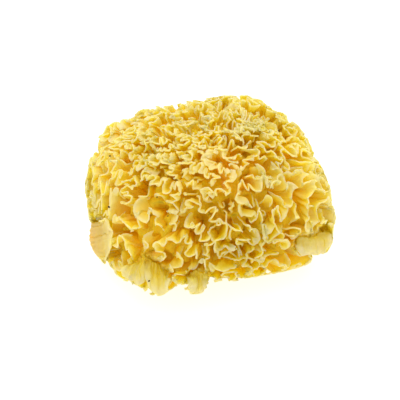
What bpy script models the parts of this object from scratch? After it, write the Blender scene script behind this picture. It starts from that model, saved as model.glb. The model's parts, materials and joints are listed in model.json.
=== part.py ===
"""A dried snow fungus head: one natural solid, in metres, +Z up.

The origin is the middle of the flat cut that freed the head from its log.
Broad wavy fronds stand out all round from a small heart above that cut.
Their outer edges lengthen as they grow, so they fold to and fro to fit.
"""

import math

import bmesh
import bpy
import numpy as np

# The head's outer form, as half sizes about the heart
HALF_LENGTH = 0.0540
HALF_DEPTH = 0.0478
RISE = 0.0450
HEART_HEIGHT = 0.0190
UNDERSIDE_CLEARANCE = 0.0010
TURN = math.radians(18)
CORNER_POWER = 3.1
EDGE_POWER = 2.4

# Swellings and hollows of that form: bearing, elevation, width in degrees, height in metres
SWELLINGS = (
    (7, 10, 16, -0.0020),
    (199, -16, 10, 0.0060),
    (150, 32, 12, 0.0030),
    (-14, -14, 14, 0.0042),
    (38, 36, 20, 0.0018),
    (-108, -16, 13, 0.0036),
)

# The fronds, whose walls taper from the body that they spring from to their edges
FROND_COUNT = 46
NODES_PER_FROND = 17
ROOT_SHARE = 0.73
ROOT_THICKNESS = 0.0026
EDGE_THICKNESS = 0.0014
EDGE_UNEVENNESS = 0.030
EDGE_WAVE = (9, 14)

# Their layout, as angles seen from the heart
FROND_SEED = 2
LOWEST_DIRECTION = -0.60
SCATTER = 0.05
LENGTH_AT_ROOT = 0.55
ROOT_BOW = 0.10
ROOT_BOW_TURNS = 7
NO_FROND_AXIS = (0.3, 0.2, 0.93)

# Growth of their edges from the root outwards
LENGTH_AT_EDGE = 1.72
ROOM_AT_ROOT = 0.30
ROOM_AT_EDGE = 0.17
GROWTH_STEPS = 24
SETTLING_TURNS = 12
STRETCH_STIFFNESS = 0.22
BEND_STIFFNESS = 0.15
CROWDING_PUSH = 0.60
OWN_FOLD_ROOM = 1.7
FOLD_NUDGE = 0.02
FOLD_TURNS = (1, 4)
LARGEST_MOVE = 0.30
EASING_TURNS = 2

# The solid body and its cut foot
BODY_SHARE = 0.81
BODY_SECTORS = 26
BODY_RINGS = 12
FOOT_RADIUS = 0.0165
FOOT_UNEVENNESS = 0.0016
FOOT_START = math.radians(140)

GOLD = (0.78, 0.52, 0.10, 1.0)
MEMBRANE_ROUGHNESS = 0.55
SMOOTH_BELOW = math.radians(40)


def unit(vectors):
    """The vectors at length one."""
    return vectors / np.linalg.norm(vectors, axis=-1, keepdims=True)


def bearing_direction(bearing, elevation):
    """The unit direction at a bearing from +X and an elevation, in degrees."""
    b, e = math.radians(bearing), math.radians(elevation)
    return np.array([math.cos(b) * math.cos(e), math.sin(b) * math.cos(e), math.sin(e)])


def reach(directions):
    """Distance from the heart to the head's outer form along each unit direction."""
    x = directions[:, 0] * math.cos(TURN) + directions[:, 1] * math.sin(TURN)
    y = directions[:, 1] * math.cos(TURN) - directions[:, 0] * math.sin(TURN)
    drop = HEART_HEIGHT - UNDERSIDE_CLEARANCE
    z = directions[:, 2] / np.where(directions[:, 2] > 0, RISE, drop)
    plan = np.abs(x / HALF_LENGTH) ** CORNER_POWER + np.abs(y / HALF_DEPTH) ** CORNER_POWER
    plan = plan ** (EDGE_POWER / CORNER_POWER)
    distance = (plan + np.abs(z) ** EDGE_POWER) ** (-1 / EDGE_POWER)
    for bearing, elevation, width, height in SWELLINGS:
        angle = np.arccos(np.clip(directions @ bearing_direction(bearing, elevation), -1, 1))
        distance = distance + height * np.exp(-0.5 * (angle / math.radians(width)) ** 2)
    return np.minimum(distance, drop / np.maximum(-directions[:, 2], 1e-6))


def frond_roots(rng):
    """A short arc of directions for each frond, spread evenly from the crown to the skirt."""
    order = np.arange(FROND_COUNT) + 0.5
    z = 1 - order / FROND_COUNT * (1 - LOWEST_DIRECTION)
    turn = order * math.pi * (3 - math.sqrt(5))
    ring = np.sqrt(1 - z * z)
    centres = np.stack([ring * np.cos(turn), ring * np.sin(turn), z], 1)
    centres = unit(centres + rng.normal(0, SCATTER, centres.shape))
    along = np.linspace(-0.5, 0.5, NODES_PER_FROND)[:, None]
    roots = []
    for centre, bearing in zip(centres, rng.uniform(0, math.pi, FROND_COUNT)):
        side = unit(np.cross(centre, NO_FROND_AXIS))
        forward = side * math.cos(bearing) + np.cross(centre, side) * math.sin(bearing)
        bow = ROOT_BOW * np.sin(ROOT_BOW_TURNS * along + rng.uniform(0, 2 * math.pi))
        roots.append(unit(centre + along * LENGTH_AT_ROOT * forward + bow * np.cross(centre, forward)))
    return np.array(roots)


def waves_along(rng):
    """A smooth sideways nudge along each frond, from which its folds start."""
    place = np.linspace(0, 2 * math.pi, NODES_PER_FROND)[None, :, None]
    turns = rng.uniform(*FOLD_TURNS, (FROND_COUNT, 1, 3))
    return np.sin(turns * place + rng.uniform(0, 2 * math.pi, (FROND_COUNT, 1, 3)))


def spring_pull(p, rest):
    """Pull along each frond that brings neighbouring nodes to their rest distance."""
    step = p[:, 1:] - p[:, :-1]
    length = np.linalg.norm(step, axis=2, keepdims=True)
    pull = STRETCH_STIFFNESS * (length - rest) / length * step
    force = np.zeros_like(p)
    force[:, :-1] += pull
    force[:, 1:] -= pull
    return force


def bend_pull(p):
    """Pull that straightens each frond at every inner node."""
    bow = BEND_STIFFNESS * ((p[:, 2:] + p[:, :-2]) / 2 - p[:, 1:-1])
    force = np.zeros_like(p)
    force[:, 1:-1] += bow
    force[:, 2:] -= bow / 2
    force[:, :-2] -= bow / 2
    return force


def crowding_push(p, room, rest):
    """Push between nodes nearer than the room that fronds keep, but not along one frond."""
    nodes = p.reshape(-1, 3)
    frond = np.repeat(np.arange(FROND_COUNT), NODES_PER_FROND)
    place = np.tile(np.arange(NODES_PER_FROND), FROND_COUNT) * rest
    distance = np.sqrt(np.maximum(2 - 2 * nodes @ nodes.T, 1e-12))
    next_to = (frond[:, None] == frond) & (np.abs(place[:, None] - place) < OWN_FOLD_ROOM * room)
    push = CROWDING_PUSH * rest * np.clip(1 - distance / room, 0, None) / distance
    push = np.where(next_to, 0, push)
    return (nodes * push.sum(1)[:, None] - push @ nodes).reshape(p.shape)


def grow_fronds(rng):
    """The directions of every frond's edge, as fronds by nodes by three."""
    p = frond_roots(rng)
    for step in range(GROWTH_STEPS):
        t = (step + 1) / GROWTH_STEPS
        rest = LENGTH_AT_ROOT * (LENGTH_AT_EDGE / LENGTH_AT_ROOT) ** t / (NODES_PER_FROND - 1)
        room = ROOM_AT_ROOT * (ROOM_AT_EDGE / ROOM_AT_ROOT) ** t
        nudge = FOLD_NUDGE * rest * waves_along(rng)
        for _ in range(SETTLING_TURNS):
            move = spring_pull(p, rest) + bend_pull(p) + crowding_push(p, room, rest) + nudge
            size = np.linalg.norm(move, axis=2, keepdims=True)
            p = p + move * np.minimum(1, LARGEST_MOVE * rest / np.maximum(size, 1e-12))
            p[..., 2] = np.maximum(p[..., 2], LOWEST_DIRECTION)
            # rounding each turn keeps the folds the same on every computer
            p = np.round(unit(p), 7)
    return p


def eased(p):
    """The fronds with their sharpest turns rounded off."""
    for _ in range(EASING_TURNS):
        inner = (p[:, 2:] + 2 * p[:, 1:-1] + p[:, :-2]) / 4
        p = unit(np.concatenate([p[:, :1], inner, p[:, -1:]], 1))
    return p


def wall_sides(directions, share, thickness):
    """The two sides of a frond's wall, at a share of the way out to the head's outer form."""
    middle = directions * (reach(directions) * share)[:, None] + (0, 0, HEART_HEIGHT)
    along = unit(np.gradient(directions, axis=0))
    across = unit(np.cross(directions, along)) * thickness / 2
    return middle - across, middle + across


def add_frond(bm, directions, height):
    """One closed frond: a wavy wall from its buried root to its thinner outer edge."""
    root_left, root_right = wall_sides(directions, ROOT_SHARE, ROOT_THICKNESS)
    edge_left, edge_right = wall_sides(directions, height, EDGE_THICKNESS)
    loops = []
    for corners in zip(root_left, edge_left, edge_right, root_right):
        loops.append([bm.verts.new(corner) for corner in corners])
    for a, b in zip(loops, loops[1:]):
        for i in range(4):
            j = (i + 1) % 4
            bm.faces.new((a[i], a[j], b[j], b[i]))
    bm.faces.new(loops[0][::-1])
    bm.faces.new(loops[-1])


def linked_object(name, bm):
    """The mesh as a named object in the scene, with its faces turned outwards."""
    bmesh.ops.recalc_face_normals(bm, faces=bm.faces)
    mesh = bpy.data.meshes.new(name)
    bm.to_mesh(mesh)
    bm.free()
    thing = bpy.data.objects.new(name, mesh)
    bpy.context.scene.collection.objects.link(thing)
    return thing


def make_fronds():
    """All the fronds as one guide mesh, for the union with the body."""
    rng = np.random.default_rng(FROND_SEED)
    edges = eased(grow_fronds(rng))
    bm = bmesh.new()
    place = np.linspace(0, 1, NODES_PER_FROND)
    for edge in edges:
        wave = np.sin(place * rng.uniform(*EDGE_WAVE) + rng.uniform(0, 2 * math.pi))
        dip = 0.5 + 0.5 * wave + rng.uniform(0, 0.6)
        add_frond(bm, edge, 1 - EDGE_UNEVENNESS * dip)
    fronds = linked_object("fronds", bm)
    fronds.hide_render = True
    fronds.display_type = "WIRE"
    return fronds


def foot_radius(bearing):
    """The slightly lobed outline of the cut foot."""
    lobes = math.sin(3 * bearing) + 0.6 * math.sin(5 * bearing + 1)
    return FOOT_RADIUS + FOOT_UNEVENNESS * lobes


def body_point(direction):
    """The place of a unit direction on the body, whose underside ends in the flat cut."""
    polar = math.acos(max(-1.0, min(1.0, direction.z)))
    if polar < FOOT_START:
        distance = BODY_SHARE * reach(np.array([direction]))[0]
        return direction.x * distance, direction.y * distance, direction.z * distance + HEART_HEIGHT
    bearing = math.atan2(direction.y, direction.x)
    radius = foot_radius(bearing) * (math.pi - polar) / (math.pi - FOOT_START)
    return radius * math.cos(bearing), radius * math.sin(bearing), 0


def make_body():
    """The body above its cut foot."""
    bm = bmesh.new()
    bmesh.ops.create_uvsphere(bm, u_segments=BODY_SECTORS, v_segments=BODY_RINGS, radius=1)
    for vertex in bm.verts:
        vertex.co = body_point(vertex.co.normalized())
    return linked_object("fruiting_body", bm)


def dried_membrane():
    """Dry golden membrane."""
    material = bpy.data.materials.new("dried_membrane")
    material.use_nodes = True
    shader = material.node_tree.nodes["Principled BSDF"]
    shader.inputs["Base Color"].default_value = GOLD
    shader.inputs["Roughness"].default_value = MEMBRANE_ROUGHNESS
    shader.inputs["Metallic"].default_value = 0.0
    material.diffuse_color = GOLD
    return material


def make_fruiting_body():
    """The one solid: the body above its cut foot, with every frond fused to it."""
    fruiting_body = make_body()
    fruiting_body.data.materials.append(dried_membrane())
    union = fruiting_body.modifiers.new("fuse_fronds", "BOOLEAN")
    union.operation = "UNION"
    union.solver = "EXACT"
    union.use_self = True
    union.object = make_fronds()
    fruiting_body.data.shade_smooth()
    fruiting_body.data.set_sharp_from_angle(angle=SMOOTH_BELOW)


for thing in list(bpy.data.objects):
    bpy.data.objects.remove(thing)
make_fruiting_body()
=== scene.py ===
"""The looks of a dried snow fungus head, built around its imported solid."""

import json
import math

import bpy
import numpy as np
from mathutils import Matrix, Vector
from mathutils.bvhtree import BVHTree

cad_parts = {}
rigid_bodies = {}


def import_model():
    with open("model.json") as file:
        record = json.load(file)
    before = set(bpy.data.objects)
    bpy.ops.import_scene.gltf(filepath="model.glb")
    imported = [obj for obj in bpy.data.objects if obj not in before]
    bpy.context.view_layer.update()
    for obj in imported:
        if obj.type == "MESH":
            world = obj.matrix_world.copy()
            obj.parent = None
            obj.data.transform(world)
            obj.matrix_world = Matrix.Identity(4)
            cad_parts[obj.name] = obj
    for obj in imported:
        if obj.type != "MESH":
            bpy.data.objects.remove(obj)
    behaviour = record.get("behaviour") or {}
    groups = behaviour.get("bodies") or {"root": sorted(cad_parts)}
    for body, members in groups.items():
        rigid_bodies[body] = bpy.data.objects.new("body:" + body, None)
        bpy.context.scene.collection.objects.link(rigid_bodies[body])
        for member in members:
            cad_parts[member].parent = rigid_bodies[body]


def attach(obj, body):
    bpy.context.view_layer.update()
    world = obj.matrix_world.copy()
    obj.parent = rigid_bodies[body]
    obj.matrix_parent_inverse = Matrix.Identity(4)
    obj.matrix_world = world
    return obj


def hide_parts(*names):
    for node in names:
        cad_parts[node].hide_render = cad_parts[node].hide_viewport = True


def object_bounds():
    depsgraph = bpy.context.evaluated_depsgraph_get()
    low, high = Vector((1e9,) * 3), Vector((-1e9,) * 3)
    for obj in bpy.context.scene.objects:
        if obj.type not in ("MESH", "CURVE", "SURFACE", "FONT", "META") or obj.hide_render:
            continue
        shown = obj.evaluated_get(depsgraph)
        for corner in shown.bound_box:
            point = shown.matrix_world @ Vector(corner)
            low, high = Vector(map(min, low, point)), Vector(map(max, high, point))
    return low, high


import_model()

cad_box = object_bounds()


# The head's outer form
# A grown mound has no hard edges: all its fronds spring from one heart just
# above the foot and end at this rounded form, which the solid shares but for
# the last swelling, where the low front is drawn in.

heart_height = 0.0190
half_length, half_depth, rise = 0.0540, 0.0478, 0.0450
turn = math.radians(18)
corner_power, edge_power = 3.1, 2.4
clearance = 0.0010
# bearing, elevation and width in degrees, height in metres
swellings = (
    (7, 10, 16, -0.0020),
    (199, -16, 10, 0.0060),
    (150, 32, 12, 0.0030),
    (-14, -14, 14, 0.0042),
    (38, 36, 20, 0.0018),
    (-108, -16, 13, 0.0036),
    (-72, -38, 20, -0.0040),
)
heart = np.array([0.0, 0.0, heart_height])


def unit(vectors):
    """The vectors at length one."""
    return vectors / np.linalg.norm(vectors, axis=-1, keepdims=True)


def toward(bearing, elevation):
    """The unit direction at a bearing from +X and an elevation, in degrees."""
    b, e = math.radians(bearing), math.radians(elevation)
    return np.array([math.cos(b) * math.cos(e), math.sin(b) * math.cos(e), math.sin(e)])


def near_to(directions, bearing, elevation, width):
    """One at a place on the head, given in degrees, falling to nothing around it."""
    angle = np.arccos(np.clip((directions * toward(bearing, elevation)).sum(-1), -1, 1))
    return np.exp(-0.5 * (angle / math.radians(width)) ** 2)


def reach(directions):
    """Distance from the heart to the outer form along each unit direction."""
    x = directions[..., 0] * math.cos(turn) + directions[..., 1] * math.sin(turn)
    y = directions[..., 1] * math.cos(turn) - directions[..., 0] * math.sin(turn)
    drop = heart_height - clearance
    z = directions[..., 2] / np.where(directions[..., 2] > 0, rise, drop)
    plan = np.abs(x / half_length) ** corner_power + np.abs(y / half_depth) ** corner_power
    plan = plan ** (edge_power / corner_power)
    distance = (plan + np.abs(z) ** edge_power) ** (-1 / edge_power)
    for bearing, elevation, width, height in swellings:
        distance = distance + height * near_to(directions, bearing, elevation, width)
    return np.minimum(distance, drop / np.maximum(-directions[..., 2], 1e-6))


# The fronds' growth
# Each frond starts as a short arc near the heart. Its edge grows longer
# than the room it has, so it folds to and fro, and branches fill the gaps.

frond_seed = 7
frond_count = 92
growth_rows = 15
settling_turns = 17
node_gap = 0.034
fewest_nodes = 5
fullness = 1.45
lowest_direction = -0.60
root_length = 0.5
root_room, grown_room = 0.24, 0.11
edge_room, skirt_extra_room = 0.051, 0.023
crown_end, skirt_span = 0.85, 0.9
wide_patches, narrow_patches, far_side_crowding = 0.16, 0.10, 0.22
# where the folds stay broad and smooth: bearing, elevation, width, extra room
broad_places = ((-132, -2, 24, 0.022),)
first_scatter, first_bow, first_bow_turn = 0.05, 0.08, 7
upright_below, upright_scatter = 0.2, 0.5
# row, how many branches start there, and how long they grow
branchings = ((5, 80, 0.26), (9, 90, 0.18))
branch_root_length, branch_slant = 0.035, 0.5
branching_nodes, end_nodes, nodes_between = 24, 4, 6
# row, and how wide a gap gets, against its room, before a frond fills it
fillings = {2: 1.1, 4: 1.0, 6: 0.95, 8: 0.82, 10: 0.74, 12: 0.68}
filling_spots, filling_length, filling_growth = 2500, 1.1, 2.6
spring, stiffness, crowding, nudging = 0.45, 0.45, 0.6, 0.03
nudge_folds = 0.15, 0.6
crowded_within, same_fold, largest_step = 1.1, 1.7, 0.3
nodes_at_once, far_apart = 300, 10 ** 6
lean_toward, lean_angle = toward(-124, -42), 0.02

rng = np.random.default_rng(frond_seed)


def room_at(directions):
    """The room between edges: little on the crown, more at the skirt, and patchy."""
    x, y, z = directions[:, 0], directions[:, 1], directions[:, 2]
    low = np.clip((crown_end - z) / skirt_span, 0, 1)
    patchy = 1 + wide_patches * np.sin(5.1 * x + 1.3 + 2 * z) * np.sin(4.3 * y + 0.4)
    patchy += narrow_patches * np.sin(9 * x - 7 * y + 2)
    patchy -= far_side_crowding * np.clip(-directions @ lean_toward, 0, 1)
    room = (edge_room + skirt_extra_room * low) * patchy
    for bearing, elevation, width, extra in broad_places:
        room = room + extra * near_to(directions, bearing, elevation, width)
    return room


def widening_at(row):
    """How much wider than at the end all rooms still are at a row."""
    return (root_room / grown_room) ** (1 - row / (growth_rows - 1))


def heading(centre, bearing):
    """The way along the sphere at a bearing from level, at one place on it."""
    side = unit(np.cross(centre, [0.0, 0.0, 1.0]))
    return side * math.cos(bearing) + np.cross(centre, side) * math.sin(bearing)


class Growth:
    """All the growing edges as one list of nodes on the unit sphere."""

    def __init__(self):
        self.nodes = np.zeros((0, 3))
        self.owner = np.zeros(0, int)
        self.place = np.zeros(0, int)
        self.parent, self.anchor, self.born = [], [], []
        self.young_length, self.grown_length = [], []

    def add(self, edge, young_length, grown_length, parent=-1, anchor=0, born=0):
        """Starts one more frond, whose first node stays on its parent if it has one."""
        self.nodes = np.concatenate([self.nodes, edge])
        self.owner = np.concatenate([self.owner, np.full(len(edge), len(self.parent))])
        self.place = np.concatenate([self.place, np.arange(len(edge))])
        self.parent.append(parent)
        self.anchor.append(anchor)
        self.born.append(born)
        self.young_length.append(young_length)
        self.grown_length.append(grown_length)

    def starts(self):
        """Index of each frond's first node, and how many nodes it has."""
        counts = np.bincount(self.owner)
        return np.concatenate([[0], np.cumsum(counts)[:-1]]), counts


def crowded_pairs(g, near, apart_along):
    """Pairs of nodes nearer than near that aren't neighbours along one frond."""
    first, second = [], []
    order = np.argsort(g.nodes[:, 2], kind="stable")
    sorted_nodes = g.nodes[order].astype(np.float32)
    height = g.nodes[order, 2]
    limit = np.float32(1 - near * near / 2)
    for start in range(0, len(order), nodes_at_once):
        block = sorted_nodes[start:start + nodes_at_once]
        end = np.searchsorted(height, height[start:start + nodes_at_once][-1] + near)
        i, j = np.nonzero(block @ sorted_nodes[start:end].T > limit)
        ahead = i < j
        first.append(order[start + i[ahead]])
        second.append(order[start + j[ahead]])
    i, j = np.concatenate(first), np.concatenate(second)
    parent, anchor = np.array(g.parent), np.array(g.anchor)
    a, b = g.owner[i], g.owner[j]
    along = np.where(a == b, np.abs(g.place[i] - g.place[j]), far_apart)
    up = g.place[j] + np.abs(g.place[i] - anchor[b])
    along = np.where(parent[b] == a, np.minimum(along, up), along)
    up = g.place[i] + np.abs(g.place[j] - anchor[a])
    along = np.where(parent[a] == b, np.minimum(along, up), along)
    apart = along > apart_along[i]
    return i[apart], j[apart]


def settle(g, row):
    """Lets every edge lengthen to this row's length and find its room."""
    born = np.array(g.born)
    own_age = (row - born) / (growth_rows - 1 - born)
    young, grown = np.array(g.young_length), np.array(g.grown_length)
    starts, counts = g.starts()
    length = young * (grown / young) ** own_age
    rest = (length / (counts - 1))[g.owner]
    linked = g.owner[1:] == g.owner[:-1]
    inner = np.zeros(len(g.nodes), bool)
    inner[1:-1] = linked[1:] & linked[:-1]
    children = np.nonzero(np.array(g.parent) >= 0)[0]
    held = starts[children]
    holder = starts[np.array(g.parent)[children]] + np.array(g.anchor)[children]
    widening = widening_at(row)
    folds = rng.uniform(*nudge_folds, (len(counts), 3)) / (grown_room * widening) * length[:, None]
    phase = rng.uniform(0, 2 * math.pi, (len(counts), 3))
    along = (g.place / (counts[g.owner] - 1))[:, None]
    nudge = nudging * rest[:, None] * np.sin(folds[g.owner] * along + phase[g.owner])
    p = g.nodes
    for pass_number in range(settling_turns):
        if pass_number % 4 == 0:
            g.nodes = p
            room = room_at(p) * widening
            reach_out = crowded_within * float(room.max())
            i, j = crowded_pairs(g, reach_out, np.ceil(same_fold * room / rest))
        step = p[1:] - p[:-1]
        size = np.linalg.norm(step, axis=1) + 1e-12
        pull = (spring * (size - rest[:-1]) / size * linked)[:, None] * step
        bow = np.zeros_like(p)
        bow[1:-1] = (p[2:] + p[:-2]) / 2 - p[1:-1]
        bow[~inner] = 0
        move = nudge + stiffness * bow
        move[:-1] += pull - 0.5 * stiffness * bow[1:] * linked[:, None]
        move[1:] -= pull + 0.5 * stiffness * bow[:-1] * linked[:, None]
        away = p[i] - p[j]
        gap = np.linalg.norm(away, axis=1) + 1e-12
        push = np.clip(1 - 2 * gap / (room[i] + room[j]), 0, None) / gap
        push *= crowding * 0.5 * (rest[i] + rest[j])
        for axis in range(3):
            part = push * away[:, axis]
            move[:, axis] += np.bincount(i, part, len(p)) - np.bincount(j, part, len(p))
        size = np.linalg.norm(move, axis=1)
        p = p + move * np.minimum(1, largest_step * rest / (size + 1e-12))[:, None]
        p[:, 2] = np.maximum(p[:, 2], lowest_direction)
        # rounding each turn keeps the folds the same on every computer
        p = np.round(unit(p), 7)
        p[held] = p[holder]
    g.nodes = p


def even_directions(count):
    """Directions spread evenly from the crown to the skirt."""
    order = np.arange(count) + 0.5
    z = 1 - order / count * (1 - lowest_direction)
    spiral = order * math.pi * (3 - math.sqrt(5))
    ring = np.sqrt(1 - z * z)
    return np.stack([ring * np.cos(spiral), ring * np.sin(spiral), z], 1)


def plant_fronds(g):
    """The first arcs, spread evenly from the crown to the skirt, upright near the skirt."""
    centres = even_directions(frond_count)
    centres = unit(centres + rng.normal(0, first_scatter, centres.shape))
    area = 2 * math.pi * (1 - lowest_direction) / frond_count
    for centre, room in zip(centres, room_at(centres)):
        grown = fullness * area / room * rng.uniform(0.8, 1.2)
        bearing = rng.uniform(0, math.pi)
        if centre[2] < upright_below:
            bearing = math.pi / 2 + rng.normal(0, upright_scatter)
        forward = heading(centre, bearing)
        along = np.linspace(-0.5, 0.5, int(grown / node_gap) + 2)[:, None]
        bow = first_bow * np.sin(first_bow_turn * along + rng.uniform(0, 2 * math.pi))
        edge = centre + along * root_length * forward + bow * np.cross(centre, forward)
        g.add(unit(edge), root_length, grown)


def branch(g, count, grown_length, row):
    """New fronds that start on the sides of older ones."""
    starts, counts = g.starts()
    older = [k for k in range(len(counts)) if counts[k] > branching_nodes]
    taken = {k: [] for k in older}
    for _ in range(count):
        k = older[int(rng.integers(len(older)))]
        anchor = int(rng.integers(end_nodes, counts[k] - end_nodes))
        side = 1 if rng.uniform() < 0.5 else -1
        slant, share = rng.normal(0, branch_slant), rng.uniform(0.7, 1.5)
        if any(abs(anchor - other) < nodes_between for other in taken[k]):
            continue
        taken[k].append(anchor)
        node = starts[k] + anchor
        along = unit(g.nodes[node + 1] - g.nodes[node - 1])
        direction = unit(side * np.cross(g.nodes[node], along) + slant * along)
        points = max(fewest_nodes, int(grown_length * share / node_gap))
        reach_out = np.linspace(0, 1, points)[:, None] * branch_root_length
        edge = unit(g.nodes[node] + reach_out * direction)
        g.add(edge, branch_root_length, grown_length * share, k, anchor, row)


def fill_gaps(g, history, row, slack):
    """New short fronds in every place that is still further from an edge than its room."""
    spots = even_directions(filling_spots)
    gap = np.sqrt(np.maximum(2 - 2 * (spots @ g.nodes.T).max(1), 0))
    widening = widening_at(row)
    room = room_at(spots) * widening * slack
    while (gap / room).max() > 1:
        centre = spots[int((gap / room).argmax())]
        forward = heading(centre, rng.uniform(0, math.pi))
        young = filling_length * float(room_at(centre[None])[0]) * widening
        age = row / (growth_rows - 1)
        grown = young * (fullness * filling_growth) ** (1 - age) * rng.uniform(0.9, 1.3)
        points = max(fewest_nodes, int(grown / node_gap) + 2)
        along = np.linspace(-0.5, 0.5, points)[:, None]
        edge = unit(centre + along * young * forward)
        g.add(edge, young, grown, born=row)
        for past in range(len(history)):
            history[past] = np.concatenate([history[past], edge])
        gap = np.minimum(gap, np.linalg.norm(spots[:, None] - edge[None], axis=2).min(1))


growth = Growth()
plant_fronds(growth)
history = [growth.nodes]
for row in range(1, growth_rows):
    for when, count, length in branchings:
        if row == when:
            branch(growth, count, length, row)
            for past in range(len(history)):
                missing = len(growth.nodes) - len(history[past])
                history[past] = np.concatenate([history[past], growth.nodes[-missing:]])
    if row in fillings:
        fill_gaps(growth, history, row, fillings[row])
    settle(growth, row)
    history.append(growth.nodes)


# The fronds' sheets
# A frond is a membrane 0.3 mm thick that swells to 0.6 mm at its free edge.
# Every row of the growth is a line across it, from the heart side outwards.

finer = 2
root_share = 0.60
spread_power = 1.25
membrane, rim_share, rim_width = 0.00058, 0.5, 0.0007
smooth_angle = math.radians(60)
head_radius = 0.05
edge_dip, edge_dip_length = 0.060, 0.017
fine_dip, fine_dip_length = 0.008, 0.0048
late_dip = 0.040
lean_length, lean_size, lean_fade = 0.030, 0.080, 0.35
crown_calm, crown_height, crown_straight = 0.75, 0.8, 0.6
# the calm middle of the front: bearing, elevation and width
middle_calm, middle_place = 0.4, (-88, 34, 24)
end_taper, end_length, end_power = 0.10, 5, 2.2
drift_length, drift_size = 0.042, 0.0016
ripple_length, ripple_size = 0.0090, 0.0007
curl_length, curl_size, curl_start = 0.026, 0.0024, 0.5
crinkle_length, crinkle_size, young_crinkle = 0.0032, 0.00030, 0.3
calm_from, calm_to, calmest, broad_calm = 0.15, -0.30, 0.35, 0.6
soft_share = 0.03
# the places where the membrane is palest, partly its own paler tone and partly a painted highlight:
# bearing, elevation, width, how pale
pale_and_lit_places = (
    (-108, 60, 16, 0.8),
    (-68, 48, 10, 0.5),
    (163, 42, 20, 0.5),
    (180, 28, 12, 0.6),
    (-142, 8, 16, 0.5),
    (-30, 4, 18, 0.5),
    (-3, 36, 12, 0.6),
    (60, 62, 16, 0.4),
    (-112, -5, 20, 0.3),
)


def pale_and_lit_at(directions):
    """How pale the membrane is at each direction, from 0 to 1: partly its tone, partly a painted
    highlight.
    """
    total = np.zeros(directions.shape[:-1])
    for bearing, elevation, width, amount in pale_and_lit_places:
        total = total + amount * near_to(directions, bearing, elevation, width)
    return np.clip(total, 0, 1)


def curve_between(before, start, end, after, f):
    """The point a share f of the way from start to end, on a smooth curve through all."""
    bent = 2 * before - 5 * start + 4 * end - after + f * (3 * (start - end) + after - before)
    return start + 0.5 * f * (end - before + f * bent)


def finer_along(p):
    """The same lines with more points, on a smooth curve through the old ones."""
    s = np.linspace(0, p.shape[1] - 1, finer * (p.shape[1] - 1) + 1)
    i = np.minimum(s.astype(int), p.shape[1] - 2)
    f = (s - i)[None, :, None]
    before, after = p[:, np.maximum(i - 1, 0)], p[:, np.minimum(i + 2, p.shape[1] - 1)]
    return curve_between(before, p[:, i], p[:, i + 1], after, f)


def smoother_between(p):
    """The rows with their sideways jitter evened out."""
    for _ in range(2):
        p = np.concatenate([p[:1], (p[2:] + 2 * p[1:-1] + p[:-2]) / 4, p[-1:]])
    return unit(p)


class Waves:
    """A smooth wandering field in space, made of a few sine waves."""

    def __init__(self, seed, length, count=7):
        draw = np.random.default_rng(seed)
        self.ways = unit(draw.normal(size=(count, 3))) * 2 * math.pi / length
        self.ways *= draw.uniform(0.6, 1.5, (count, 1))
        self.phases = draw.uniform(0, 2 * math.pi, count)
        self.pushes = unit(draw.normal(size=(count, 3))) / math.sqrt(count) * 1.4

    def value(self, points):
        """A number from about -1 to 1 at each point."""
        total = np.zeros(points.shape[:-1])
        for way, phase in zip(self.ways, self.phases):
            total += np.sin((points * way).sum(-1) + phase)
        return total / math.sqrt(len(self.phases)) * 0.7

    def push(self, points):
        """A vector of about that length at each point."""
        total = np.zeros(points.shape)
        for way, phase, push in zip(self.ways, self.phases, self.pushes):
            total += np.sin((points * way).sum(-1) + phase)[..., None] * push
        return total


lean = Waves(30, lean_length, 5)
drift = Waves(11, drift_length)
ripple = Waves(12, ripple_length)
curl_field = Waves(13, curl_length)
height_field = Waves(14, edge_dip_length)
fine_height_field = Waves(15, fine_dip_length)
crinkle_field = Waves(16, crinkle_length)


def liveliness(directions):
    """How much an edge ripples: fully on the crown, less on the broad calm skirt."""
    high = (directions[..., 2] - calm_to) / (calm_from - calm_to)
    lively = calmest + (1 - calmest) * np.clip(high, 0, 1)
    for bearing, elevation, width, _ in broad_places:
        lively = lively * (1 - broad_calm * near_to(directions, bearing, elevation, width))
    return lively


# where the outer rows are laid over flat: bearing, elevation, width, how far, towards
laid_over = (
    (-108, 64, 12, 0.07, toward(-150, 5)),
    (160, 46, 14, 0.07, toward(-160, -10)),
)


def leaned(rows, age):
    """The rows drawn over towards one side, more and more outwards, as a head droops."""
    held_up = np.clip((rows[..., 2:] - lowest_direction) / lean_fade, 0, 1)
    upright = 1 - crown_calm * np.clip(rows[..., 2:] / crown_height, 0, 1) ** 2
    upright = upright * (1 - middle_calm * near_to(rows, *middle_place)[..., None])
    wander = lean_size * upright * lean.push(head_radius * rows)
    pull = lean_angle * held_up * lean_toward + wander
    moved = rows + (age ** 1.5)[:, None, None] * pull
    for bearing, elevation, width, amount, way in laid_over:
        near = near_to(rows, bearing, elevation, width)
        moved = moved + (amount * near * (age ** 4)[:, None])[..., None] * way
    return unit(moved)


def kept_inside(points):
    """The points drawn back softly wherever they stand out past the head's outer form."""
    away = points - heart
    distance = np.linalg.norm(away, axis=-1)
    directions = away / distance[..., None]
    limit = reach(directions)
    past = distance / limit - (1 - soft_share)
    eased = (1 - soft_share) + soft_share * (1 - np.exp(-np.maximum(past, 0) / soft_share))
    distance = np.where(past > 0, limit * eased, distance)
    return heart + directions * distance[..., None]


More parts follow.
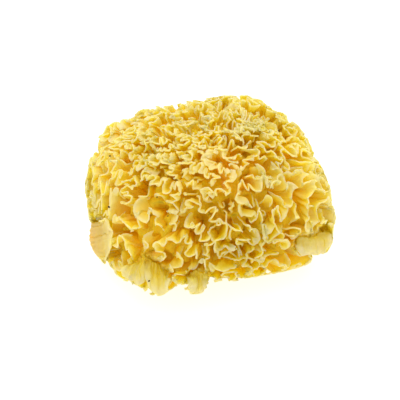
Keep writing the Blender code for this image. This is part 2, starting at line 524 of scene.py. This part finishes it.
def lay_sheet(surface, name):
    """One frond as a sheet: a grid shaped to the surface's points."""
    rows, columns = surface["points"].shape[:2]
    bpy.ops.mesh.primitive_grid_add(x_subdivisions=columns - 1, y_subdivisions=rows - 1, size=0.1)
    sheet = bpy.context.object
    sheet.name = name
    sheet.data.vertices.foreach_set("co", surface["points"].ravel())
    in_millimetres = surface["from_edge"] * 1000
    for layer_name, values in (("from_edge", in_millimetres), ("pale_and_lit", surface["pale_and_lit"])):
        layer = sheet.data.attributes.new(layer_name, "FLOAT", "POINT")
        layer.data.foreach_set("value", values.astype(np.float32).ravel())
    body = sheet.vertex_groups.new(name="thickness")
    weights = rim_share + (1 - rim_share) * np.exp(-surface["from_edge"].mean(1) / rim_width)
    for row, weight in enumerate(weights):
        body.add(list(range(row * columns, (row + 1) * columns)), float(weight), "REPLACE")
    return sheet


def join_sheets(sheets, name):
    """All the sheets as one piece with the membrane's thickness."""
    bpy.ops.object.select_all(action="DESELECT")
    for sheet in sheets:
        sheet.select_set(True)
    bpy.context.view_layer.objects.active = sheets[0]
    bpy.ops.object.join()
    piece = bpy.context.object
    piece.name = name
    thickness = piece.modifiers.new("membrane", "SOLIDIFY")
    thickness.thickness = membrane
    thickness.offset = 0
    thickness.vertex_group = "thickness"
    bpy.ops.object.modifier_apply(modifier="membrane")
    bpy.ops.object.shade_smooth_by_angle(angle=smooth_angle)
    return piece


# The broad fronds
# Some fronds stay broad and smooth. Each is laid between its rim and a line
# lower down on its face, both traced where the camera sees them.

camera_elevation, camera_distance = math.radians(38), 0.4235
target = np.array([-0.0033, 0, 0.0225])
lens, sensor, picture_width = 85, 36, 400
toward_camera = np.array([0, -math.cos(camera_elevation), math.sin(camera_elevation)])
picture_up = np.array([0, math.sin(camera_elevation), math.cos(camera_elevation)])
picture_right = np.array([1.0, 0, 0])
eye = target + camera_distance * toward_camera
pixels_per_slope = lens / sensor * picture_width

broad_seed = 200
broad_rows, broad_columns = 18, 44
search_reach, search_step = 0.08, 0.0002
curve_steps = 12
rim_dip, rim_dip_power = 0.0018, 6
rim_wander, rim_turns = 0.5, 3.6
past_lower_line = 1.15
wave_size, wave_turns = 0.0007, (2.0, 4.5)
wrinkle_size = 0.00028
# turns across the frond, and height
wrinkles = ((9.0, wrinkle_size), (15.0, 0.6 * wrinkle_size))
crease_size, crease_turn = 0.00055, 9
broad_ripple, broad_crinkle = 0.8, 0.00018
broad_fade = 0.22


def seen_at(pixels, depth):
    """The points under picture pixels, at a depth below the head's outer form."""
    slope = (np.asarray(pixels, float) - picture_width / 2) / pixels_per_slope
    rays = unit(-toward_camera + slope[:, :1] * picture_right - slope[:, 1:] * picture_up)
    near, far = camera_distance - search_reach, camera_distance + search_reach
    steps = np.arange(near, far, search_step)
    along = eye + steps[None, :, None] * rays[:, None]
    away = np.linalg.norm(along - heart, axis=-1)
    below = reach((along - heart) / away[..., None]) - np.reshape(depth, (-1, 1)) - away
    first = np.where((below > 0).any(1), (below > 0).argmax(1), below.argmax(1))
    return along[np.arange(len(first)), first]


def picture_place(points):
    """Where the camera sees points, in pixels, and how far off they are."""
    away = points - target
    far = camera_distance - away @ toward_camera
    across = picture_width / 2 + pixels_per_slope * (away @ picture_right) / far
    down = picture_width / 2 - pixels_per_slope * (away @ picture_up) / far
    return across, down, far


def smooth_line(corners, count):
    """Evenly spaced points on a smooth curve through the corners."""
    corners = np.array(corners, float)
    before, after = 2 * corners[0] - corners[1], 2 * corners[-1] - corners[-2]
    p = np.concatenate([[before], corners, [after]])
    f = np.linspace(0, 1, curve_steps + 1)[1:, None]
    stretches = zip(p[:-3], p[1:-2], p[2:-1], p[3:])
    line = np.concatenate([corners[:1]] + [curve_between(*four, f) for four in stretches])
    walked = np.concatenate([[0], np.cumsum(np.linalg.norm(np.diff(line, axis=0), axis=1))])
    wanted = np.linspace(0, walked[-1], count)
    return np.stack([np.interp(wanted, walked, line[:, axis]) for axis in range(2)], 1)


def broad_height(draw, s, t):
    """How far a broad frond's waves, wrinkles and creases lift it, s across and t down it."""
    wave = np.zeros(np.broadcast_shapes(s.shape, t.shape))
    for turns in wave_turns:
        slant = draw.uniform(-2, 2)
        wave += np.sin(math.pi * turns * s + slant * t + draw.uniform(0, 6)) / turns
    height = wave_size * wave * (1.2 - t)
    for turns, size in wrinkles:
        slant = draw.uniform(-3, 3)
        height += size * np.sin(math.pi * turns * s + slant * t) * t ** 0.5
    slant = draw.uniform(1, 3)
    height += crease_size * np.sin(crease_turn * t + slant * s + draw.uniform(0, 6)) * t
    return height


def broad_surface(number, rim, rim_depth, low, low_depth, bulge, pale_and_lit):
    """A smooth sheet from a rim to a lower line, swelling outwards in between."""
    draw = np.random.default_rng(broad_seed + number)
    s = np.linspace(-1, 1, broad_columns)
    sink = rim_dip * np.abs(s) ** rim_dip_power
    top_line, bottom_line = smooth_line(rim, broad_columns), smooth_line(low, broad_columns)
    outwards = unit(top_line - bottom_line)
    wander = rim_wander * np.sin(rim_turns * math.pi * s + draw.uniform(0, 6))
    top = seen_at(top_line + wander[:, None] * outwards, rim_depth + sink)
    bottom = seen_at(bottom_line, low_depth + sink)
    t = np.linspace(0, past_lower_line, broad_rows)[:, None]
    points = top * (1 - t[..., None]) + bottom * t[..., None]
    along = unit(np.gradient(points, axis=1))
    across = unit(np.cross(along, np.broadcast_to(bottom - top, points.shape)))
    across = across * np.sign((across * unit(points - heart)).sum(-1, keepdims=True))
    points = points + bulge * np.sin(math.pi * np.clip(t, 0, 1))[..., None] * across
    points = points + broad_height(draw, s[None], t)[..., None] * across
    points = points + broad_ripple * ripple_size * ripple.push(points)
    points = points + broad_crinkle * crinkle_field.push(points)
    from_edge = broad_fade * np.linalg.norm(points - points[0], axis=-1)
    spread_pale_and_lit = np.full(points.shape[:2], pale_and_lit)
    return {"points": kept_inside(points), "from_edge": from_edge, "pale_and_lit": spread_pale_and_lit}


# rim, its depth, a lower line, its depth, how far the face swells out, how pale (partly tone, partly a
# painted highlight)
broad_fronds = {
    "left": (
        ((98, 219), (106, 221), (109, 232), (110, 243), (107, 254), (101, 264)), 0.0006,
        ((95, 222), (91, 231), (90, 240), (91, 250), (94, 258), (98, 266)), 0.0045, -0.0010, 0.5),
    "front": (
        ((145, 277), (149, 288), (155, 295), (162, 296), (168, 289), (169, 280)), 0.0008,
        ((146, 258), (150, 264), (155, 268), (161, 271), (165, 274), (168, 276)), 0.0060, 0.0015, 0.2),
    "front_left": (
        ((120, 270), (125, 279), (132, 284), (139, 285), (145, 282)), 0.0010,
        ((130, 266), (134, 265), (138, 263), (142, 260), (145, 257)), 0.0045, 0.0012, 0.2),
    "small_front": (
        ((187, 283), (191, 291), (197, 295), (204, 291), (208, 283)), 0.0008,
        ((189, 277), (193, 274), (198, 273), (203, 274), (208, 277)), 0.0055, 0.0010, 0.15),
    "right": (
        ((296, 250), (303, 255), (314, 256), (325, 252), (332, 241)), 0.0010,
        ((297, 240), (304, 240), (313, 239), (321, 236), (327, 230)), 0.0045, 0.0012, 0.3),
}
broad_surfaces = [broad_surface(number, *traced)
                  for number, traced in enumerate(broad_fronds.values())]

# how far off the broad fronds' furthest points are, at each point of the picture
tuck_gap, tuck_slope, tuck_reach, tuck_push = 0.0010, 0.0016, 5, 1.6
curtain = np.full((picture_width, picture_width), -np.inf)
for surface in broad_surfaces:
    fine = finer_along(finer_along(surface["points"]).transpose(1, 0, 2))
    across, down, far = picture_place(fine.reshape(-1, 3))
    cells = np.round(down).astype(int), np.round(across).astype(int)
    np.maximum.at(curtain, cells, far)
for _ in range(tuck_reach):
    wider = np.pad(curtain, 1, constant_values=-np.inf)
    around = [wider[1:-1, :-2], wider[1:-1, 2:], wider[:-2, 1:-1], wider[2:, 1:-1]]
    curtain = np.maximum(curtain, np.max(around, axis=0) - tuck_slope)


def tucked_behind(points):
    """The points moved back along the camera's line wherever they would hide a broad frond."""
    across, down, far = picture_place(points)
    limit = curtain[np.round(down).astype(int), np.round(across).astype(int)] + tuck_gap
    back = np.where(far < limit, tuck_push * (limit - far), 0)
    return points + unit(points - eye) * back[..., None]


# The common fronds
# All the other fronds are sheets through the rows of their growth, gathered
# by where they lie on the head.

held_points = 8
crown_from = 0.62
sectors = ("right_fronds", "back_right_fronds", "back_left_fronds",
           "left_fronds", "front_left_fronds", "front_right_fronds")
margin = 0.0006


def frond_surface(number, parents):
    """The points of one frond's middle surface, and how far out each lies."""
    starts, counts = growth.starts()
    start, count = starts[number], counts[number]
    is_branch = growth.parent[number] >= 0
    born = growth.born[number] if is_branch else 0
    rows = np.array([history[row][start:start + count] for row in range(born, growth_rows)])
    rows = finer_along(smoother_between(rows))
    age = np.arange(born, growth_rows) / (growth_rows - 1)
    rows = leaned(unit(rows), age)
    share = root_share + (1 - root_share) * (1 - (1 - age) ** spread_power)
    full = heart + rows * reach(rows)[..., None]
    lively = liveliness(rows)
    dip = edge_dip * (0.5 + 0.5 * height_field.value(full[-1]))
    dip = dip + fine_dip * fine_height_field.value(full[-1]) * lively[-1]
    if not is_branch:
        dip = dip + late_dip * growth.born[number] / growth_rows
    place = np.arange(rows.shape[1]) / finer
    from_end = place[-1] - place if is_branch else np.minimum(place, place[-1] - place)
    dip = dip + end_taper * np.clip(1 - from_end / end_length, 0, 1) ** end_power
    outward = share[:, None] * (1 - dip * age[:, None] ** 2)
    points = heart + rows * (reach(rows) * outward)[..., None]
    across = unit(np.cross(rows, unit(np.gradient(rows, axis=1))))
    late = np.clip((age - curl_start) / (1 - curl_start), 0, 1)[:, None]
    straight = crown_straight * crown_calm * np.clip(rows[..., 2] / crown_height, 0, 1) ** 2
    sideways = curl_size * late ** 2 * curl_field.value(full[-1])[None] * (1 - straight)
    crinkle = crinkle_size * (young_crinkle + (1 - young_crinkle) * late)
    sideways = sideways + crinkle * crinkle_field.value(points) * lively
    shift = across * sideways[..., None]
    if is_branch:
        parent_shift = parents[growth.parent[number]]["shift"]
        held = parent_shift[-len(rows):, growth.anchor[number] * finer][:, None]
        free = np.clip(np.arange(rows.shape[1]) / held_points, 0, 1)[None, :, None]
        shift = shift * free + held * (1 - free)
    points = points + shift
    points = points + drift_size * drift.push(points)
    points = points + ripple_size * lively[..., None] * ripple.push(points)
    edge_gap = (1 - age) ** spread_power * (1 - root_share) * rise
    from_edge = np.broadcast_to(edge_gap[:, None], rows.shape[:2])
    return {"points": tucked_behind(kept_inside(points)), "shift": shift, "from_edge": from_edge,
            "pale_and_lit": pale_and_lit_at(unit(points - heart))}


def in_group(direction):
    """Which part of the head a frond belongs to, by where it lies."""
    if direction[2] > crown_from:
        side = "left" if direction[0] < 0 else "right"
        return f"crown_fronds_{side}" if direction[1] < 0 else f"crown_fronds_back_{side}"
    bearing = math.degrees(math.atan2(direction[1], direction[0]))
    width = 360 / len(sectors)
    return sectors[int((bearing + width / 2) // width) % len(sectors)]


surfaces = []
groups = {}
starts, counts = growth.starts()
for number in range(len(growth.parent)):
    surfaces.append(frond_surface(number, surfaces))
    root = number if growth.parent[number] < 0 else growth.parent[number]
    middle = history[-1][starts[root]:starts[root] + counts[root]].mean(0)
    groups.setdefault(in_group(unit(middle)), []).append(number)
groups["broad_fronds"] = range(len(surfaces), len(surfaces) + len(broad_surfaces))
surfaces += broad_surfaces

box_low, box_high = (np.array(corner) for corner in cad_box)
all_points = np.concatenate([surface["points"].reshape(-1, 3) for surface in surfaces])
over = np.maximum(all_points.max(0) + margin - box_high, 0) / (box_high - heart)
under = np.maximum(box_low + margin - all_points.min(0), 0) / (heart - box_low)

pieces = {}
for group, numbers in sorted(groups.items()):
    bpy.ops.object.select_all(action="DESELECT")
    sheets = []
    for number in numbers:
        offset = surfaces[number]["points"] - heart
        surfaces[number]["points"] = heart + offset / np.where(offset > 0, 1 + over, 1 + under)
        sheets.append(lay_sheet(surfaces[number], f"{group}_{number}"))
    pieces[group] = join_sheets(sheets, group)


# The membrane's finish
# Dry membrane is translucent: pale cream where an edge is thin and dry, with a painted highlight
# there, golden on its faces, and turned orange by painted shade where folds crowd round. Pale open
# places are painted lighter, and a painted glow lightens it all.

# share of the way in from the edge, and the colour there: the membrane's own tone, with a painted
# highlight at the edge and painted shade turning it orange deep inside
rim_tone_highlight_and_shade = (
    (0.0, (0.99, 0.98, 0.93, 1)),
    (0.05, (0.99, 0.975, 0.86, 1)),
    (0.11, (0.99, 0.945, 0.36, 1)),
    (0.25, (0.99, 0.905, 0.07, 1)),
    (0.50, (0.99, 0.85, 0.018, 1)),
    (1.0, (0.99, 0.76, 0.010, 1)),
)
rim_range = 9.0
# painted shade: where ambient occlusion finds folds close by, the colour is multiplied by this warm,
# darker tint
shade_tint, no_tint, black = (1.0, 0.955, 0.26, 1), (1.0, 1.0, 1.0, 1), (0.0, 0.0, 0.0, 1)
shade_distance, shade_samples, shade_range = 0.008, 4, (0.0, 0.6)
# painted highlight: pale places are mixed toward this cream only where ambient occlusion finds them
# open to the light
pale_lit_colour, open_to_light_range = (0.99, 0.97, 0.84, 1), (0.2, 0.7)
see_through = 0.65
# painted glow: the membrane gives off light in its own colour, faintly everywhere and more where it is
# pale
painted_glow, least_painted_glow = 0.13, 0.04
mottle_size, mottle_range = 260, (0.35, 0.65)
mottle_colours = (1.0, 0.985, 0.65, 1), (1.0, 1.0, 1.0, 1)
membrane_roughness = 0.42
membrane_wrinkle_size, membrane_bump, membrane_bump_depth = 420, 0.9, 0.0010


def new_material(name, roughness):
    """A new material, its node tree and its main shader."""
    material = bpy.data.materials.new(name)
    material.use_nodes = True
    shader = material.node_tree.nodes["Principled BSDF"]
    shader.inputs["Roughness"].default_value = roughness
    return material, material.node_tree, shader


def cloudy(tree, size, detail, roughness):
    """Cloudy noise that lies still on the piece."""
    place, noise = tree.nodes.new("ShaderNodeTexCoord"), tree.nodes.new("ShaderNodeTexNoise")
    noise.inputs["Detail"].default_value = detail
    noise.inputs["Roughness"].default_value = roughness
    tree.links.new(place.outputs["Object"], noise.inputs["Vector"])
    if isinstance(size, bpy.types.NodeSocket):
        tree.links.new(size, noise.inputs["Scale"])
    else:
        noise.inputs["Scale"].default_value = size
    return noise.outputs["Fac"]


def stretched(tree, value, between=(0, 1), least=0):
    """A value spread out so that what lies between two values runs from least to 1."""
    node = tree.nodes.new("ShaderNodeMapRange")
    node.inputs["From Min"].default_value, node.inputs["From Max"].default_value = between
    node.inputs["To Min"].default_value = least
    tree.links.new(value, node.inputs["Value"])
    return node.outputs[0]


def mixed(tree, factor, first, second, blend="MIX"):
    """Two colours mixed, each given as a colour or as another node's output."""
    node = tree.nodes.new("ShaderNodeMix")
    node.data_type, node.blend_type = "RGBA", blend
    for socket, value in zip((node.inputs[0], *node.inputs[6:8]), (factor, first, second)):
        if isinstance(value, bpy.types.NodeSocket):
            tree.links.new(value, socket)
        else:
            socket.default_value = value
    return node.outputs[2]


def wrinkle_group():
    """Fine wrinkles of dry membrane, as a height from 0 to 1."""
    group = bpy.data.node_groups.new("membrane_wrinkles", "ShaderNodeTree")
    group.interface.new_socket("Size", in_out="INPUT", socket_type="NodeSocketFloat")
    group.interface.new_socket("Height", in_out="OUTPUT", socket_type="NodeSocketFloat")
    entry, leaving = group.nodes.new("NodeGroupInput"), group.nodes.new("NodeGroupOutput")
    veins = cloudy(group, entry.outputs["Size"], 4, 0.6)
    group.links.new(veins, leaving.inputs["Height"])
    return group


def add_wrinkles(tree, shader, size, strength, depth):
    """The fine wrinkles as bumps on a shader."""
    wrinkles, bump = tree.nodes.new("ShaderNodeGroup"), tree.nodes.new("ShaderNodeBump")
    wrinkles.node_tree = fine_wrinkles
    wrinkles.inputs["Size"].default_value = size
    bump.inputs["Strength"].default_value, bump.inputs["Distance"].default_value = strength, depth
    tree.links.new(wrinkles.outputs["Height"], bump.inputs["Height"])
    tree.links.new(bump.outputs["Normal"], shader.inputs["Normal"])


def rim_to_depth_with_painted_light(tree):
    """Cream at the free edge, through lemon, to golden deep inside: the membrane's tone with a painted
    highlight on the edge and painted shade deeper in.
    """
    edge = tree.nodes.new("ShaderNodeAttribute")
    edge.attribute_name = "from_edge"
    ramp = tree.nodes.new("ShaderNodeValToRGB")
    tree.links.new(stretched(tree, edge.outputs["Fac"], (0, rim_range)), ramp.inputs["Fac"])
    stops = ramp.color_ramp.elements
    stops[0].position, stops[0].color = rim_tone_highlight_and_shade[0]
    stops[1].position, stops[1].color = rim_tone_highlight_and_shade[-1]
    for position, colour in rim_tone_highlight_and_shade[1:-1]:
        stops.new(position).color = colour
    return ramp.outputs["Color"]


def membrane_colour(tree, pale_and_lit):
    """The membrane's colour: painted lighter in pale places open to the light, mottled, and painted
    warmer and darker where folds shade it.
    """
    shade = tree.nodes.new("ShaderNodeAmbientOcclusion")
    shade.samples = shade_samples
    shade.inputs["Distance"].default_value = shade_distance
    painted_light_share = tree.nodes.new("ShaderNodeMath")
    painted_light_share.operation = "MULTIPLY"
    tree.links.new(pale_and_lit, painted_light_share.inputs[0])
    tree.links.new(stretched(tree, shade.outputs["AO"], open_to_light_range), painted_light_share.inputs[1])
    bleached_and_lit = mixed(tree, painted_light_share.outputs[0], rim_to_depth_with_painted_light(tree), pale_lit_colour)
    mottle = stretched(tree, cloudy(tree, mottle_size, 5, 0.65), mottle_range)
    mottled = mixed(tree, 1.0, bleached_and_lit, mixed(tree, mottle, *mottle_colours), "MULTIPLY")
    openness = stretched(tree, shade.outputs["AO"], shade_range)
    return mixed(tree, 1.0, mottled, mixed(tree, openness, shade_tint, no_tint), "MULTIPLY")


def membrane_material():
    """Dry membrane, which lets most of the light through, with a painted glow that is faint everywhere
    and stronger where it is pale.
    """
    material, tree, shader = new_material("dried_membrane", membrane_roughness)
    pale_and_lit = tree.nodes.new("ShaderNodeAttribute")
    pale_and_lit.attribute_name = "pale_and_lit"
    colour = membrane_colour(tree, pale_and_lit.outputs["Fac"])
    painted_glow_share = stretched(tree, pale_and_lit.outputs["Fac"], least=least_painted_glow)
    tree.links.new(colour, shader.inputs["Base Color"])
    tree.links.new(mixed(tree, painted_glow_share, black, colour), shader.inputs["Emission Color"])
    shader.inputs["Emission Strength"].default_value = painted_glow
    add_wrinkles(tree, shader, membrane_wrinkle_size, membrane_bump, membrane_bump_depth)
    through = tree.nodes.new("ShaderNodeBsdfTranslucent")
    tree.links.new(colour, through.inputs["Color"])
    both = tree.nodes.new("ShaderNodeMixShader")
    both.inputs[0].default_value = see_through
    tree.links.new(shader.outputs[0], both.inputs[1])
    tree.links.new(through.outputs[0], both.inputs[2])
    tree.links.new(both.outputs[0], tree.nodes["Material Output"].inputs["Surface"])
    return material


fine_wrinkles = wrinkle_group()
membrane_finish = membrane_material()
for piece in pieces.values():
    piece.data.materials.append(membrane_finish)
    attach(piece, "root")


# The heart and the foot
# The fronds run together in a firm wrinkled heart, which ends below in the
# hard foot that was cut flat off the log.

heart_share = 0.79
heart_segments, heart_rings = 240, 130
foot_radius = 0.0160
# angles from straight up: where the foot starts, and how far above it the ridges fade
foot_start, foot_blend = math.radians(140), 0.7
ridge_height, ridge_length = 0.0034, 0.010
heart_colours = (0.95, 0.63, 0.008, 1), (0.98, 0.78, 0.014, 1)
foot_colour, foot_height = (0.42, 0.25, 0.07, 1), 0.006
heart_roughness = 0.6
heart_wrinkle_size, heart_bump, heart_bump_depth = 300, 1.0, 0.0015


def heart_surface(directions):
    """Where unit directions meet the heart or, low down, the cut foot."""
    polar = np.arccos(np.clip(directions[:, 2], -1, 1))
    bearing = np.arctan2(directions[:, 1], directions[:, 0])
    smooth = heart + directions * reach(directions)[:, None] * heart_share
    ridge = 1 - 2 * np.abs(Waves(21, ridge_length).value(smooth))
    tuck = np.clip((foot_start - polar) / foot_blend, 0, 1)
    body = smooth + directions * (ridge * tuck * ridge_height)[:, None]
    share = (math.pi - polar) / (math.pi - foot_start)
    lobes = 1 + 0.06 * np.sin(3 * bearing) + 0.04 * np.sin(5 * bearing + 1)
    radius = share * foot_radius * lobes
    cut = np.stack([radius * np.cos(bearing), radius * np.sin(bearing), 0 * radius], 1)
    return np.where((polar < foot_start)[:, None], body, cut)


def heart_material():
    """Firm golden gel with fine wrinkles, browner towards the cut foot."""
    material, tree, shader = new_material("firm_heart", heart_roughness)
    flesh = mixed(tree, cloudy(tree, mottle_size, 5, 0.5), *heart_colours)
    place, parts = tree.nodes.new("ShaderNodeTexCoord"), tree.nodes.new("ShaderNodeSeparateXYZ")
    tree.links.new(place.outputs["Object"], parts.inputs["Vector"])
    above_foot = stretched(tree, parts.outputs["Z"], (0, foot_height))
    tree.links.new(mixed(tree, above_foot, foot_colour, flesh), shader.inputs["Base Color"])
    add_wrinkles(tree, shader, heart_wrinkle_size, heart_bump, heart_bump_depth)
    return material


bpy.ops.object.select_all(action="DESELECT")
bpy.ops.mesh.primitive_uv_sphere_add(segments=heart_segments, ring_count=heart_rings, radius=1)
heart_piece = bpy.context.object
heart_piece.name = "heart_and_foot"
directions = np.empty(len(heart_piece.data.vertices) * 3)
heart_piece.data.vertices.foreach_get("co", directions)
directions = unit(directions.reshape(-1, 3))
heart_piece.data.vertices.foreach_set("co", heart_surface(directions).ravel())
bpy.ops.object.shade_smooth()
heart_piece.data.materials.append(heart_material())
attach(heart_piece, "root")
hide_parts("fruiting_body")


# The specks
# A few black specks lie on the fronds where the photo shows them. Each is
# set on the surface under one point of the picture.

# pixels across and down, and the speck's radius
specks = (
    (110, 156, 0.00045), (109, 207, 0.00055), (278, 131, 0.00055),
    (168, 216, 0.00040), (149, 281, 0.00050), (157, 197, 0.00040),
)
speck_shape = (1, 0.75, 0.4)
speck_colour, speck_roughness = (0.035, 0.022, 0.012, 1), 0.8

trees = []
for piece in (*pieces.values(), heart_piece):
    corners = [vertex.co for vertex in piece.data.vertices]
    trees.append(BVHTree.FromPolygons(corners, [face.vertices for face in piece.data.polygons]))
grains = []
for across, down, radius in specks:
    slope_across, slope_down = (np.array([across, down]) - picture_width / 2) / pixels_per_slope
    ray = Vector(unit(-toward_camera + slope_across * picture_right - slope_down * picture_up))
    hits = [tree.ray_cast(Vector(eye), ray) for tree in trees]
    hits = [hit for hit in hits if hit[0]]
    if not hits:
        continue
    place, normal, _, _ = min(hits, key=lambda hit: hit[3])
    bpy.ops.mesh.primitive_ico_sphere_add(subdivisions=2, radius=radius, location=place,
                                          rotation=normal.to_track_quat("Z", "Y").to_euler())
    grain = bpy.context.object
    grain.scale = speck_shape
    bpy.ops.object.transform_apply(location=True, rotation=True, scale=True)
    grains.append(grain)
for grain in grains:
    grain.select_set(True)
bpy.ops.object.join()
specks_piece = bpy.context.object
specks_piece.name = "specks"
bpy.ops.object.shade_smooth()
speck_material, _, shader = new_material("dark_speck", speck_roughness)
shader.inputs["Base Color"].default_value = speck_colour
specks_piece.data.materials.append(speck_material)
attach(specks_piece, "root")


# The table, the light and the camera
# The head stands on a plain pale table under soft light from all round.

table_size, table_drop = 6, 0.0002
table_colour, table_roughness, table_glow = (0.50, 0.50, 0.50, 1), 0.9, 0.78
daylight, sky_strength = (1.0, 0.99, 0.97, 1), 0.90
lit_point = Vector((0, 0, 0.02))

bpy.ops.object.select_all(action="DESELECT")
bpy.ops.mesh.primitive_plane_add(size=table_size, location=(0, 0, -table_drop))
table = bpy.context.object
table.name = "table"
white, _, shader = new_material("white_table", table_roughness)
shader.inputs["Base Color"].default_value = table_colour
shader.inputs["Emission Color"].default_value = daylight
shader.inputs["Emission Strength"].default_value = table_glow
table.data.materials.append(white)

world = bpy.data.worlds.new("studio")
bpy.context.scene.world = world
world.use_nodes = True
world.node_tree.nodes["Background"].inputs["Color"].default_value = daylight
world.node_tree.nodes["Background"].inputs["Strength"].default_value = sky_strength


def softbox(name, place, size, power):
    """A square lamp that faces the head."""
    lamp = bpy.data.lights.new(name, "AREA")
    lamp.size = size
    lamp.energy = power
    holder = bpy.data.objects.new(name, lamp)
    bpy.context.scene.collection.objects.link(holder)
    holder.location = place
    holder.rotation_euler = (lit_point - Vector(place)).to_track_quat("-Z", "Y").to_euler()


softbox("key_light", place=(-0.12, 0.12, 0.80), size=0.60, power=2.4)
softbox("back_light", place=(0.3, 0.6, 0.5), size=0.5, power=1.7)

camera = bpy.data.objects.new("camera", bpy.data.cameras.new("camera"))
bpy.context.scene.collection.objects.link(camera)
camera.data.lens = lens
camera.data.sensor_width = sensor
camera.location = Vector(eye)
camera.rotation_euler = Vector(-toward_camera).to_track_quat("-Z", "Y").to_euler()
bpy.context.scene.camera = camera
bpy.context.scene.view_settings.view_transform = "Standard"
